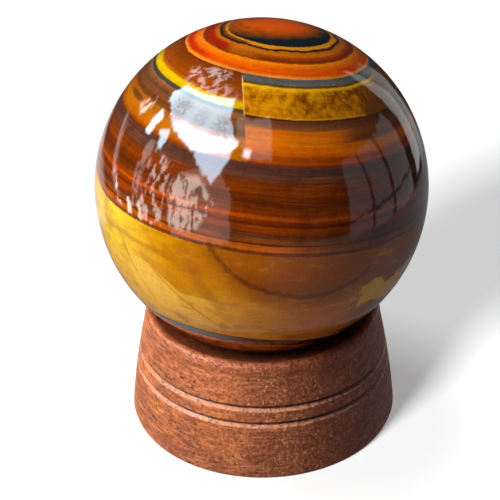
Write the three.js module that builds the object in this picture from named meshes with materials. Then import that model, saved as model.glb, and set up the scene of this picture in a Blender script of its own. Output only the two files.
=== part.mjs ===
// A polished stone sphere resting in a turned wooden stand.
// Millimetres, +Z up, origin on the floor at the middle of the stand's foot.
import * as THREE from "three";

// ---- stone sphere ----
const SPHERE_RADIUS = 30; // a 60 mm sphere
const SPHERE_CENTRE_HEIGHT = 45.8; // middle of the sphere above the floor
const SPHERE_SIDES = 92; // steps round the axis
const SPHERE_ROWS = 34; // steps from pole to pole

// ---- wooden stand: outside ----
const FOOT_RADIUS = 26.6;
const FOOT_EDGE = 0.6; // softened edge at the floor
const FOOT_EDGE_ROUNDING = 0.3; // share of the edge left at its middle
const SIDE_LEAN = 0.117; // radius lost per millimetre of height
const SIDE_BOW = 0.0033; // extra curve of the slightly swollen side
const LOW_SIDE_HEIGHT = 5.5; // a point on the swollen side under the grooves
const HIGH_SIDE_HEIGHT = 17.3; // and one over them
const STAND_SIDES = 92; // steps round the axis

// ---- wooden stand: the two V grooves cut round its middle ----
const GROOVE_HEIGHTS = [11.0, 14.1]; // height of each groove's deepest line
const GROOVE_DEPTH = 0.75;
const GROOVE_ABOVE = 0.45; // from the deepest line up to the side
const GROOVE_BELOW = 0.8; // from the deepest line down to the side

// ---- wooden stand: rim and seat ----
const SHOULDER_HEIGHT = 19.9; // where the side starts to round over
const SHOULDER_STEPS = 4; // steps in that rounding
const RIM_CREST = { radius: 21.7, height: 22.0 };
const RIM_INNER = { radius: 20.9, height: 21.7 }; // where the seat starts
const SEAT_GAP = 0.3; // clearance kept between stone and wood
const SEAT_FLOOR = { radius: 7.5, height: 15.2 }; // flat bottom of the seat

/** Radius of the stand's plain side at a height. */
const sideRadius = (z) => FOOT_RADIUS - SIDE_LEAN * z - SIDE_BOW * z * z;

/** A solid of revolution about +Z from [radius, height] points that start and end on the axis. */
function turned(name, profile, sides, finish) {
  const points = profile.map(([radius, height]) => new THREE.Vector2(radius, height));
  const shape = new THREE.LatheGeometry(points, sides);
  shape.rotateX(Math.PI / 2);
  const mesh = new THREE.Mesh(shape, new THREE.MeshStandardMaterial(finish));
  mesh.name = name;
  return mesh;
}

/** The sphere's half circle, from its lowest point to its highest. */
function sphereProfile() {
  const profile = [];
  for (let i = 0; i <= SPHERE_ROWS; i += 1) {
    const turn = (Math.PI * i) / SPHERE_ROWS;
    const onAxis = i === 0 || i === SPHERE_ROWS;
    const radius = onAxis ? 0 : SPHERE_RADIUS * Math.sin(turn);
    profile.push([radius, SPHERE_CENTRE_HEIGHT - SPHERE_RADIUS * Math.cos(turn)]);
  }
  return profile;
}

/**
 * The conical seat. It leaves the rim and runs down along the tangent to the stone,
 * so the stone rests on one ring part way down; the cone stands SEAT_GAP off it.
 */
function seatBottom() {
  const reach = SPHERE_RADIUS + SEAT_GAP;
  const drop = SPHERE_CENTRE_HEIGHT - RIM_INNER.height;
  const distance = Math.hypot(RIM_INNER.radius, drop);
  const slope = Math.atan2(RIM_INNER.radius, drop) - Math.acos(reach / distance);
  const fall = (RIM_INNER.radius - SEAT_FLOOR.radius) * Math.tan(slope);
  return [SEAT_FLOOR.radius, RIM_INNER.height - fall];
}

/** The stand's section, from the middle of the underside round to the middle of the seat. */
function standProfile() {
  const profile = [
    [0, 0],
    [sideRadius(0) - FOOT_EDGE, 0],
    [sideRadius(0) - FOOT_EDGE * FOOT_EDGE_ROUNDING, FOOT_EDGE * FOOT_EDGE_ROUNDING],
    [sideRadius(FOOT_EDGE), FOOT_EDGE],
    [sideRadius(LOW_SIDE_HEIGHT), LOW_SIDE_HEIGHT],
  ];
  for (const height of GROOVE_HEIGHTS) {
    profile.push([sideRadius(height - GROOVE_BELOW), height - GROOVE_BELOW]);
    profile.push([sideRadius(height) - GROOVE_DEPTH, height]);
    profile.push([sideRadius(height + GROOVE_ABOVE), height + GROOVE_ABOVE]);
  }
  profile.push([sideRadius(HIGH_SIDE_HEIGHT), HIGH_SIDE_HEIGHT]);
  // rounded shoulder: a quarter ellipse from the side up to the crest of the rim
  const across = sideRadius(SHOULDER_HEIGHT) - RIM_CREST.radius;
  const up = RIM_CREST.height - SHOULDER_HEIGHT;
  for (let i = 0; i <= SHOULDER_STEPS; i += 1) {
    const turn = (Math.PI / 2) * (i / SHOULDER_STEPS);
    profile.push([
      RIM_CREST.radius + across * Math.cos(turn),
      SHOULDER_HEIGHT + up * Math.sin(turn),
    ]);
  }
  profile.push([RIM_INNER.radius, RIM_INNER.height]);
  profile.push(seatBottom());
  profile.push([SEAT_FLOOR.radius, SEAT_FLOOR.height]);
  profile.push([0, SEAT_FLOOR.height]);
  return profile;
}

const group = new THREE.Group();
group.name = "stone_sphere_on_stand";

group.add(
  turned("wooden_stand", standProfile(), STAND_SIDES, {
    color: 0x8a4a2a,
    roughness: 0.55,
    metalness: 0,
  }),
);

group.add(
  turned("stone_sphere", sphereProfile(), SPHERE_SIDES, {
    color: 0xa8681c,
    roughness: 0.12,
    metalness: 0,
  }),
);

export default group;
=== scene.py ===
"""The looks of a polished banded stone sphere resting in a turned wooden stand.

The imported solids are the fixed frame. The stone and the stand are built here as finer meshes in the
same places, and each gets a finish worked out from its own position, so it looks right from all sides.
Lengths are in metres unless a name ends in _mm.
"""

import logging
import math
from collections.abc import Mapping, Sequence
from dataclasses import dataclass, field
from enum import Enum

import bpy
import numpy as np
from mathutils import Matrix, Vector, noise


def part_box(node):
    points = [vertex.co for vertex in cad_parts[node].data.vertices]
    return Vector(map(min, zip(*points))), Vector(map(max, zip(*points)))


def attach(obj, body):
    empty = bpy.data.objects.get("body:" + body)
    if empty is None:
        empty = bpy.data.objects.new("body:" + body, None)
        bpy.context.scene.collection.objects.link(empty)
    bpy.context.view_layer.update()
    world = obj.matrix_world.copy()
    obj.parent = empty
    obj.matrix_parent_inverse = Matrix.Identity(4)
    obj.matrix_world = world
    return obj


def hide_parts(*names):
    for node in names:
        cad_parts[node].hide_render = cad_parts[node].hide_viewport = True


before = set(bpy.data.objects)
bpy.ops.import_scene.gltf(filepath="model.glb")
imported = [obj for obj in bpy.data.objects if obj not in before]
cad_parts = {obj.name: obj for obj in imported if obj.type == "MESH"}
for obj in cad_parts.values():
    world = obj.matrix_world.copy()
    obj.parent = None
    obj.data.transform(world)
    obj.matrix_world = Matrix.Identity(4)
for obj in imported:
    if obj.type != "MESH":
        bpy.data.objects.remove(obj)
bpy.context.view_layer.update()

log = logging.getLogger("stone_sphere")

MM = 0.001
Feed = "float | tuple[float, ...] | Wire | bpy.types.NodeSocket"


def tone(red: int, green: int, blue: int) -> tuple[float, float, float, float]:
    """Turns a display colour into the linear colour that shaders use.

    Args:
        red: Red, 0 to 255.
        green: Green, 0 to 255.
        blue: Blue, 0 to 255.

    Returns:
        Linear red, green, blue and an alpha of one.
    """

    def linear(channel: int) -> float:
        """One channel, from display to linear."""
        part = channel / 255.0
        return part / 12.92 if part <= 0.04045 else ((part + 0.055) / 1.055) ** 2.4

    return linear(red), linear(green), linear(blue), 1.0


# --------------------------------------------------------------------------------------
# Shader bench
# --------------------------------------------------------------------------------------


class Wire:
    """One number in a shader, so that sums on it are written as Python expressions."""

    def __init__(self, bench: "Bench", socket: bpy.types.NodeSocket) -> None:
        """Keeps the socket and the bench that adds nodes for it."""
        self.bench = bench
        self.socket = socket

    def _sum(self, operation: str, *values: "Feed") -> "Wire":
        """Adds one Math node.

        Args:
            operation: The Math node's operation.
            values: What goes into its sockets, in order.

        Returns:
            The node's result.
        """
        node = self.bench.place("ShaderNodeMath", {"operation": operation}, dict(enumerate(values)))
        return Wire(self.bench, node.outputs[0])

    def __add__(self, other: "Feed") -> "Wire":
        """self + other"""
        return self._sum("ADD", self, other)

    __radd__ = __add__

    def __sub__(self, other: "Feed") -> "Wire":
        """self - other"""
        return self._sum("SUBTRACT", self, other)

    def __rsub__(self, other: "Feed") -> "Wire":
        """other - self"""
        return self._sum("SUBTRACT", other, self)

    def __mul__(self, other: "Feed") -> "Wire":
        """self * other"""
        return self._sum("MULTIPLY", self, other)

    __rmul__ = __mul__

    def __truediv__(self, other: "Feed") -> "Wire":
        """self / other"""
        return self._sum("DIVIDE", self, other)

    def __rtruediv__(self, other: "Feed") -> "Wire":
        """other / self"""
        return self._sum("DIVIDE", other, self)

    def __pow__(self, other: "Feed") -> "Wire":
        """self ** other"""
        return self._sum("POWER", self, other)

    def __abs__(self) -> "Wire":
        """The value without its sign."""
        return self._sum("ABSOLUTE", self)

    def at_least(self, other: "Feed") -> "Wire":
        """The larger of self and other."""
        return self._sum("MAXIMUM", self, other)

    def turn_from(self, ahead: "Feed") -> "Wire":
        """The angle, in degrees, of a direction that goes self sideways and ahead forwards."""
        return self._sum("ARCTAN2", self, ahead) * (180.0 / math.pi)

    def rise(self, start: "Feed", end: "Feed") -> "Wire":
        """Goes smoothly from 0 at start to 1 at end.

        Args:
            start: Where the result leaves 0.
            end: Where the result reaches 1, above start.

        Returns:
            A mask between 0 and 1.
        """
        node = self.bench.place(
            "ShaderNodeMapRange",
            {"interpolation_type": "SMOOTHSTEP"},
            {"Value": self, "From Min": start, "From Max": end},
        )
        return Wire(self.bench, node.outputs["Result"])

    def fall(self, start: "Feed", end: "Feed") -> "Wire":
        """Goes smoothly from 1 at start to 0 at end, which is above start."""
        return 1.0 - self.rise(start, end)

    def within(self, low: "Feed", high: "Feed", blur: float) -> "Wire":
        """A soft-edged mask of the stretch between two values.

        Args:
            low: The stretch's lower end.
            high: Its upper end.
            blur: How far each edge takes to fade.

        Returns:
            A mask that is 1 inside the stretch.
        """
        half = blur / 2.0
        up = self.rise(low - half, low + half)
        down = self.fall(high - half, high + half)
        return up * down


class Bench:
    """Builds one material's or world's node tree."""

    def __init__(self, tree: bpy.types.NodeTree) -> None:
        """Clears the tree and keeps it."""
        self.tree = tree
        tree.nodes.clear()

    def place(
        self,
        kind: str,
        settings: Mapping[str, object] | None = None,
        sockets: Mapping[object, "Feed"] | None = None,
    ) -> bpy.types.Node:
        """Adds any node.

        Args:
            kind: The node's type.
            settings: Its settings, set first. "stops" holds a colour ramp's stops.
            sockets: Values or links for its sockets, by name or by number.

        Returns:
            The new node.
        """
        node = self.tree.nodes.new(kind)
        for name, value in (settings or {}).items():
            if name == "stops":
                self._set_stops(node.color_ramp, value)
            else:
                setattr(node, name, value)
        for key, feed in (sockets or {}).items():
            self._connect(node.inputs[key], feed)
        return node

    def _connect(self, socket: bpy.types.NodeSocket, feed: "Feed") -> None:
        """Feeds a node's socket.

        Args:
            socket: The socket.
            feed: The wire or other socket that it is linked to, or its value.
        """
        if isinstance(feed, Wire):
            self.tree.links.new(feed.socket, socket)
        elif isinstance(feed, bpy.types.NodeSocket):
            self.tree.links.new(feed, socket)
        else:
            socket.default_value = feed

    @staticmethod
    def _set_stops(ramp: bpy.types.ColorRamp, stops: Sequence[tuple[float, tuple]]) -> None:
        """Gives a colour ramp its stops.

        Args:
            ramp: The node's colour ramp.
            stops: Pairs of place and colour in rising order.
        """
        while len(ramp.elements) > 1:
            ramp.elements.remove(ramp.elements[-1])
        ramp.elements[0].position, ramp.elements[0].color = stops[0]
        for place, colour in stops[1:]:
            ramp.elements.new(place).color = colour

    def blend(self, mask: "Feed", below: "Feed", above: "Feed") -> bpy.types.NodeSocket:
        """Lays one colour over another.

        Args:
            mask: How much of the upper colour shows.
            below: The colour underneath.
            above: The colour laid over it.

        Returns:
            The mixed colour.
        """
        node = self.place("ShaderNodeMix", {"data_type": "RGBA"}, {0: mask, 6: below, 7: above})
        return node.outputs[2]

    def tint(self, colour: "Feed", mask: "Feed", display: tuple[int, int, int]) -> bpy.types.NodeSocket:
        """Lays one plain display colour over another colour, as far as the mask says."""
        return self.blend(mask, colour, tone(*display))

    def shade(self, colour: "Feed", amount: "Feed") -> bpy.types.NodeSocket:
        """Makes a colour lighter or darker by a factor."""
        node = self.place("ShaderNodeVectorMath", {"operation": "SCALE"}, {0: colour, "Scale": amount})
        return node.outputs[0]

    def speckle(self, place: "Feed", size: float, detail: float = 2.0, rough: float = 0.5) -> Wire:
        """Cloudy noise between 0 and 1.

        Args:
            place: The position that the noise is read at.
            size: Noise scale: the larger it is, the finer the noise.
            detail: How many finer layers it has.
            rough: How strong the finer layers are.

        Returns:
            The noise's value.
        """
        node = self.place(
            "ShaderNodeTexNoise",
            {"noise_dimensions": "3D"},
            {"Vector": place, "Scale": size, "Detail": detail, "Roughness": rough},
        )
        return Wire(self, node.outputs[0])

    def along(self, place: "Feed", direction: Sequence[float]) -> Wire:
        """Measures a position along a direction.

        Args:
            place: The position.
            direction: The direction, one unit long.

        Returns:
            How far along it the position lies.
        """
        node = self.place(
            "ShaderNodeVectorMath",
            {"operation": "DOT_PRODUCT"},
            {0: place, 1: tuple(direction)},
        )
        return Wire(self, node.outputs["Value"])

    def position_mm(self, origin: Sequence[float]) -> bpy.types.NodeSocket:
        """Finds the surface's own position.

        Args:
            origin: Where it is measured from, in metres.

        Returns:
            The position from there, in millimetres.
        """
        seen = self.place("ShaderNodeTexCoord").outputs["Object"]
        moved = self.place(
            "ShaderNodeVectorMath",
            {"operation": "SUBTRACT"},
            {0: seen, 1: tuple(origin)},
        )
        return self.shade(moved.outputs[0], 1.0 / MM)

    def joined(self, across: "Feed", deep: "Feed", up: "Feed") -> bpy.types.NodeSocket:
        """A position made from three values."""
        node = self.place("ShaderNodeCombineXYZ", None, {0: across, 1: deep, 2: up})
        return node.outputs[0]


def new_material(name: str) -> tuple[bpy.types.Material, Bench]:
    """Makes an empty material.

    Args:
        name: The material's name.

    Returns:
        The material and the bench that builds it.
    """
    material = bpy.data.materials.new(name)
    material.use_nodes = True
    return material, Bench(material.node_tree)


def add_mesh(
    name: str,
    points: np.ndarray,
    faces: Sequence[Sequence[int]],
    smooth: bool = True,
) -> bpy.types.Object:
    """Makes a mesh object in the scene.

    Args:
        name: The object's name.
        points: Its vertices, one row each.
        faces: Its faces, as vertex numbers.
        smooth: Whether its faces are shaded smooth.

    Returns:
        The new object.
    """
    mesh = bpy.data.meshes.new(name)
    mesh.from_pydata(points.tolist(), [], [list(face) for face in faces])
    mesh.validate()
    mesh.polygons.foreach_set("use_smooth", [smooth] * len(mesh.polygons))
    mesh.update()
    thing = bpy.data.objects.new(name, mesh)
    bpy.context.scene.collection.objects.link(thing)
    return thing


# --------------------------------------------------------------------------------------
# Banded stone
# --------------------------------------------------------------------------------------


@dataclass(frozen=True)
class Band:
    """One layer of the stone, from its top down to the next layer's top.

    Heights are millimetres above the stone's middle, across the layers.
    """

    top: float
    colour: tuple[int, int, int]
    foot_colour: tuple[int, int, int] | None = None
    fade: float = 0.09


def ramp_of_bands(bench: Bench, height: Wire, bands: Sequence[Band], bottom: float) -> bpy.types.NodeSocket:
    """Colours a height by the layer it lies in.

    Args:
        bench: The material's bench.
        height: The height across the layers, in millimetres.
        bands: The layers from the top down.
        bottom: Where the last one ends.

    Returns:
        The layer's colour.
    """
    span = bands[0].top - bottom
    ends = [band.top for band in bands[1:]] + [bottom]
    stops: list[tuple[float, tuple]] = []
    for band, end in zip(bands, ends):
        half = min(band.fade, band.top - end) / 2.0
        stops.append(((band.top - half - bottom) / span, tone(*band.colour)))
        stops.append(((end + half - bottom) / span, tone(*(band.foot_colour or band.colour))))
    stops.sort(key=lambda stop: stop[0])
    node = bench.place("ShaderNodeValToRGB", {"stops": stops}, {"Fac": (height - bottom) / span})
    return node.outputs["Color"]


@dataclass(frozen=True)
class Crack:
    """A healed crack: a flat split through the stone, fixed by three points on its surface.

    Each point is a turn in degrees from the front, positive to the right, and a height in millimetres.
    """

    points: tuple[tuple[float, float], tuple[float, float], tuple[float, float]]
    width: float
    colour: tuple[int, int, int]
    strength: float
    wander: float = 0.5

    def line(self, bench: Bench, spot: bpy.types.NodeSocket, radius: float, waver: Wire) -> Wire:
        """Finds where the crack shows.

        Args:
            bench: The material's bench.
            spot: The position in the stone's own directions, in millimetres.
            radius: The stone's radius.
            waver: Noise round zero that makes the crack wander.

        Returns:
            A mask that is as strong as the crack at its middle.
        """
        spots = []
        for turn, height in self.points:
            reach, angle = math.sqrt(radius**2 - height**2), math.radians(turn)
            spots.append(Vector((reach * math.sin(angle), -reach * math.cos(angle), height)))
        start, middle, end = spots
        flat = (middle - start).cross(end - start).normalized()
        run = (end - start).normalized()
        off = bench.along(spot, flat) - flat.dot(start) + waver * self.wander
        length = bench.along(spot, run).within(run.dot(start), run.dot(end), 1.2)
        facing = bench.along(spot, middle.normalized()).rise(radius * 0.4, radius * 0.65)
        return abs(off).fall(self.width * 0.2, self.width) * length * facing * self.strength


@dataclass(frozen=True)
class StonePlace:
    """Where a point lies in the stone, in millimetres from its middle and in degrees round it.

    across, deep and height run along the stone's own right, back and up. turn is the angle round it
    from the front, positive to the right, and the fibre spot is drawn out upwards.
    """

    spot: bpy.types.NodeSocket
    fibre_spot: bpy.types.NodeSocket
    across: Wire
    deep: Wire
    turn: Wire
    height: Wire


@dataclass(frozen=True)
class Stain:
    """A soft-edged patch of colour on the stone.

    height and turn are each a stretch's two ends and the blur of its edges.
    """

    height: tuple[float, float, float]
    turn: tuple[float, float, float]
    strength: float
    colour: tuple[int, int, int]


def stained(
    bench: Bench,
    at: StonePlace,
    colour: bpy.types.NodeSocket,
    stains: Sequence[Stain],
    mask: "Feed" = 1.0,
) -> bpy.types.NodeSocket:
    """Lays stains over a colour.

    Args:
        bench: The material's bench.
        at: Where the point lies in the stone.
        colour: The colour underneath.
        stains: The stains, from the lowest up.
        mask: Where they may show.

    Returns:
        The stained colour.
    """
    for stain in stains:
        cover = at.height.within(*stain.height) * at.turn.within(*stain.turn) * stain.strength
        colour = bench.tint(colour, cover * mask, stain.colour)
    return colour


@dataclass(frozen=True)
class StoneFinish:
    """Polished tiger's-eye: straight layers, fibres across them, one fault, cracks and a cap."""

    centre: tuple[float, float, float]
    radius_mm: float
    lean: tuple[float, float] = (0.113, -0.015)
    cap_foot: tuple[float, float] = (25.66, 25.74)
    middle_top: tuple[float, float] = (15.52, 15.62)
    gold_top: tuple[float, float] = (3.1, 3.26)
    ior: float = 1.54
    roughness: float = 0.05
    fault_across: float = -5.6
    fault_head: float = 25.2
    fault_slope: float = 0.18
    cracks: tuple[Crack, ...] = (
        Crack(((-17, 2.8), (5, -4.6), (36, -0.8)), 2.0, (140, 70, 8), 0.45, 1.2),
        Crack(((-17, 2.8), (5, -4.6), (36, -0.8)), 0.42, (92, 44, 12), 0.6, 0.9),
        Crack(((-53, 0.6), (-46, -5.1), (-37, -12.0)), 0.2, (150, 95, 20), 0.6),
        Crack(((-58, -1.6), (-50, -6.4), (-43, -12.6)), 0.16, (165, 105, 20), 0.45),
        Crack(((-37, -4.5), (-27, -8.1), (-14, -12.8)), 0.24, (170, 100, 10), 0.6),
        Crack(((-24, 1.0), (-19, -3.6), (-11, -9.4)), 1.6, (160, 92, 20), 0.4, 1.4),
        Crack(((26, 8.5), (42, 9.6), (58, 13.5)), 0.4, (60, 20, 5), 0.5, 1.5),
    )

    def axes(self) -> tuple[Vector, Vector, Vector]:
        """The stone's own right, back and up directions; up is square to the layers."""
        lean_x, lean_y = self.lean
        up = Vector((lean_x, lean_y, math.sqrt(1.0 - lean_x**2 - lean_y**2)))
        right = (Vector((1.0, 0.0, 0.0)) - up * up.x).normalized()
        return right, up.cross(right), up

    def build(self) -> bpy.types.Material:
        """Builds the stone's material.

        Returns:
            The finished material.
        """
        material, bench = new_material("banded_stone")
        place = bench.position_mm(self.centre)
        across, deep, up = (bench.along(place, direction) for direction in self.axes())
        turn = across.turn_from(deep * -1.0)
        spot = bench.joined(across, deep, up)
        fibre_spot = bench.joined(across, deep, up * 0.06)
        wave = bench.speckle(spot, 0.1, 2.0) - 0.5
        ripple = bench.speckle(spot, 0.8, 3.0, 0.6) - 0.5
        comb = bench.speckle(fibre_spot, 2.2, 3.0, 0.65) - 0.5
        height = up + wave * 0.3 + ripple * 0.14 + comb * 0.1
        at = StonePlace(spot, fibre_spot, across, deep, turn, height)

        fault = across - self.fault_across - (self.fault_head - up) * self.fault_slope + ripple * 0.3
        left = fault.fall(-0.07, 0.07)
        colour = bench.blend(left, self._right_bands(bench, at), self._left_bands(bench, at))
        line = abs(fault).fall(0.04, 0.15) * up.within(21.2, 25.3, 0.6)
        colour = bench.tint(colour, line * 0.75, (215, 175, 95))
        colour = bench.blend(height.rise(*self.cap_foot), colour, self._cap(bench, at))
        colour = bench.blend(height.fall(*self.middle_top), colour, self._middle(bench, at))
        edge = height + comb * 0.35 + turn.within(-66.0, 150.0, 17.0) * 0.7
        edge = edge - turn.within(44.0, 150.0, 12.0) * 0.3
        colour = bench.blend(edge.fall(*self.gold_top), colour, self._gold(bench, at))
        for crack in self.cracks:
            shown = crack.line(bench, spot, self.radius_mm, ripple + wave)
            colour = bench.tint(colour, shown, crack.colour)
        fibres = bench.speckle(fibre_spot, 3.6, 4.0, 0.7)
        grain = bench.speckle(spot, 3.0, 3.0, 0.6)
        strata = bench.speckle(bench.joined(across * 0.12, deep * 0.12, height * 2.6), 1.0, 5.0, 0.72)
        mottle = bench.speckle(spot, 0.7, 5.0, 0.72)
        upper = height.rise(2.6, 3.4) * height.fall(27.0, 28.5)
        layered = 1.0 + (strata - 0.5) * upper * 1.1 + (mottle - 0.5) * (upper * 0.5 + 0.3)
        colour = bench.shade(colour, (0.66 + fibres * 0.46 + grain * 0.22) * layered)

        shader = bench.place(
            "ShaderNodeBsdfPrincipled",
            None,
            {
                "Base Color": colour,
                "Roughness": self.roughness,
                "IOR": self.ior,
                "Normal": self._polish(bench, spot),
            },
        )
        bench.place("ShaderNodeOutputMaterial", None, {"Surface": shader.outputs[0]})
        return material

    @staticmethod
    def _polish(bench: Bench, spot: bpy.types.NodeSocket) -> bpy.types.NodeSocket:
        """The faint unevenness of a hand-polished surface.

        Args:
            bench: The material's bench.
            spot: The position in the stone's own directions, in millimetres.

        Returns:
            The bent surface normal.
        """
        swell = bench.speckle(spot, 0.35, 1.0)
        node = bench.place("ShaderNodeBump", None, {"Strength": 0.05, "Distance": 0.4 * MM, "Height": swell})
        return node.outputs[0]

    @staticmethod
    def _cap(bench: Bench, at: StonePlace) -> bpy.types.NodeSocket:
        """The rings round the top of the stone, with the dark lens in them.

        Args:
            bench: The material's bench.
            at: Where the point lies in the stone.

        Returns:
            The colour.
        """
        rings = (
            Band(30.4, (196, 76, 0), (192, 78, 0)),
            Band(29.75, (190, 78, 0), (158, 65, 0), 0.4),
            Band(28.7, (196, 126, 20), (200, 128, 22)),
            Band(28.46, (50, 16, 2), (56, 18, 2), 0.07),
            Band(28.28, (160, 92, 18), (184, 92, 2), 0.1),
            Band(27.88, (150, 62, 4), (106, 34, 0), 0.25),
            Band(27.28, (140, 52, 2), (212, 116, 12), 0.1),
            Band(27.12, (212, 114, 6), (204, 84, 0)),
            Band(26.6, (203, 78, 0), (196, 66, 0), 0.5),
            Band(25.86, (214, 128, 36), (205, 120, 30)),
        )
        stray = (bench.speckle(at.spot, 0.22, 3.0, 0.6) - 0.5) * 0.34
        jag = (bench.speckle(at.spot, 1.1, 3.0, 0.7) - 0.5) * 0.17
        thin = at.height.within(27.2, 28.95, 0.5)
        colour = ramp_of_bands(bench, at.height + (stray + jag) * thin, rings, 25.6)
        red_ring = Stain((27.5, 28.05, 0.25), (-150.0, -44.0, 16.0), 0.9, (142, 12, 0))
        red_core = Stain((26.0, 26.5, 0.3), (-170.0, -50.0, 20.0), 0.85, (176, 28, 0))
        double_line = Stain((28.38, 28.62, 0.08), (-140.0, -34.0, 14.0), 0.85, (62, 24, 6))
        gap = Stain((27.3, 28.0, 0.3), (-42.0, -18.0, 12.0), 0.6, (165, 88, 12))
        ember = Stain((25.95, 26.5, 0.3), (40.0, 62.0, 14.0), 0.7, (188, 40, 0))
        colour = stained(bench, at, colour, (red_ring, red_core, double_line, gap, ember))
        cloud = bench.speckle(at.spot, 0.55, 4.0, 0.65)
        thick = 0.1 + at.across * 0.046 - at.deep * 0.088 + (cloud - 0.5) * 0.5
        haze = (at.height - thick + (cloud - 0.5) * 0.7).fall(28.7, 29.62)
        colour = bench.tint(colour, haze * 0.8 * at.height.rise(28.7, 28.8), (92, 48, 6))
        smoke = cloud.rise(0.44, 0.62) * at.height.within(29.0, 29.8, 0.4)
        colour = bench.tint(colour, smoke * 0.6, (108, 48, 2))
        blaze = at.height.rise(29.55, 29.85) * (cloud - 0.5).rise(-0.08, 0.12)
        colour = bench.tint(colour, blaze * 0.6, (214, 74, 0))
        lens = at.height.rise(28.68, 28.8) * (at.height - thick).fall(28.4, 29.05)
        colour = bench.tint(colour, lens, (15, 27, 32))
        return bench.tint(colour, lens * at.height.fall(28.74, 28.95), (8, 12, 10))

    @staticmethod
    def _left_bands(bench: Bench, at: StonePlace) -> bpy.types.NodeSocket:
        """The broad bands to the left of the fault, which lie lower than those to its right.

        Args:
            bench: The material's bench.
            at: Where the point lies in the stone.

        Returns:
            The colour.
        """
        bands = (
            Band(26.4, (106, 42, 0), (112, 46, 0)),
            Band(25.2, (122, 54, 0), (140, 60, 0), 0.5),
            Band(23.38, (170, 100, 0), (202, 160, 0), 0.25),
            Band(22.95, (204, 168, 0), (202, 160, 0)),
            Band(22.3, (60, 62, 40), (50, 54, 48), 0.16),
            Band(21.78, (128, 80, 54), (112, 68, 36)),
            Band(21.1, (96, 56, 26), (108, 64, 32), 0.3),
            Band(19.9, (96, 50, 20), (100, 54, 14), 0.3),
            Band(19.1, (148, 78, 2), (160, 90, 4), 0.3),
            Band(17.9, (168, 94, 0), (166, 86, 0), 0.3),
            Band(16.2, (140, 66, 0), (92, 34, 0), 0.3),
        )
        sag = at.across.rise(-19.5, -6.0) * 0.55
        colour = ramp_of_bands(bench, at.height + sag, bands, 15.4)
        smear = (((at.turn + 70.0) / 9.0) ** 2.0 + ((at.height - 18.3) / 0.5) ** 2.0).fall(0.3, 1.3)
        return bench.tint(colour, smear * 0.7, (72, 40, 18))

    @staticmethod
    def _right_bands(bench: Bench, at: StonePlace) -> bpy.types.NodeSocket:
        """The broad bands to the right of the fault, with a layer of streaky gold in them.

        Args:
            bench: The material's bench.
            at: Where the point lies in the stone.

        Returns:
            The colour.
        """
        bands = (
            Band(26.4, (76, 78, 78), (80, 82, 82)),
            Band(25.2, (80, 78, 74), (84, 76, 66), 0.2),
            Band(24.92, (70, 46, 20), (120, 84, 20), 0.14),
            Band(24.72, (222, 166, 6), (214, 156, 4), 0.14),
            Band(24.25, (200, 135, 2), (190, 120, 0), 0.3),
            Band(21.42, (206, 138, 4), (190, 124, 10)),
            Band(21.26, (52, 26, 4), (70, 34, 10)),
            Band(21.06, (90, 46, 26), (104, 58, 32)),
            Band(20.4, (118, 66, 34), (136, 72, 30), 0.3),
            Band(19.95, (192, 96, 4), (204, 104, 0), 0.2),
            Band(18.1, (200, 98, 0), (184, 80, 0), 0.4),
            Band(16.8, (152, 62, 0), (150, 60, 2), 0.2),
            Band(16.1, (164, 66, 2), (158, 62, 4), 0.2),
            Band(15.72, (112, 42, 6), None, 0.1),
        )
        step = at.across.rise(7.0, 13.5) * 1.25
        colour = ramp_of_bands(bench, at.height + step * at.height.within(17.3, 19.3, 1.2), bands, 15.4)
        browner = at.across.rise(9.0, 13.0) * at.height.within(18.4, 20.9, 0.5)
        colour = bench.tint(colour, browner * 0.8, (98, 54, 30))
        speck = bench.speckle(at.spot, 5.0, 1.0).rise(0.55, 0.66) * at.height.within(24.98, 25.16, 0.08)
        colour = bench.tint(colour, speck * at.turn.within(2.0, 50.0, 8.0) * 0.6, (165, 130, 100))

        gold = at.height.within(21.46, 24.45, 0.35)
        threads = bench.speckle(at.fibre_spot, 0.85, 4.0, 0.68)
        smoke = bench.speckle(at.fibre_spot, 0.26, 2.0, 0.5)
        shadow = (smoke - 0.5) * 1.7 + at.across.rise(-7.0, 14.0) * 0.34 + at.height.rise(21.5, 23.4) * 0.16
        dark = (shadow + (threads - 0.5) * 2.4).rise(-0.15, 0.75)
        colour = bench.tint(colour, gold * dark * 0.92, (112, 50, 0))
        colour = bench.tint(colour, gold * (1.0 - dark) * threads.rise(0.42, 0.6) * 0.4, (165, 96, 0))
        colour = bench.tint(colour, gold * dark * smoke.rise(0.56, 0.68) * 0.5, (70, 32, 6))
        tatter = bench.speckle(at.spot, 0.9, 4.0, 0.7) - 0.5
        frayed = (at.across + tatter * 5.0 - at.height.rise(22.6, 24.4) * 1.6).rise(13.4, 14.6)
        return bench.tint(colour, at.height.within(21.2, 24.85, 0.3) * frayed, (124, 68, 22))

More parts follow.
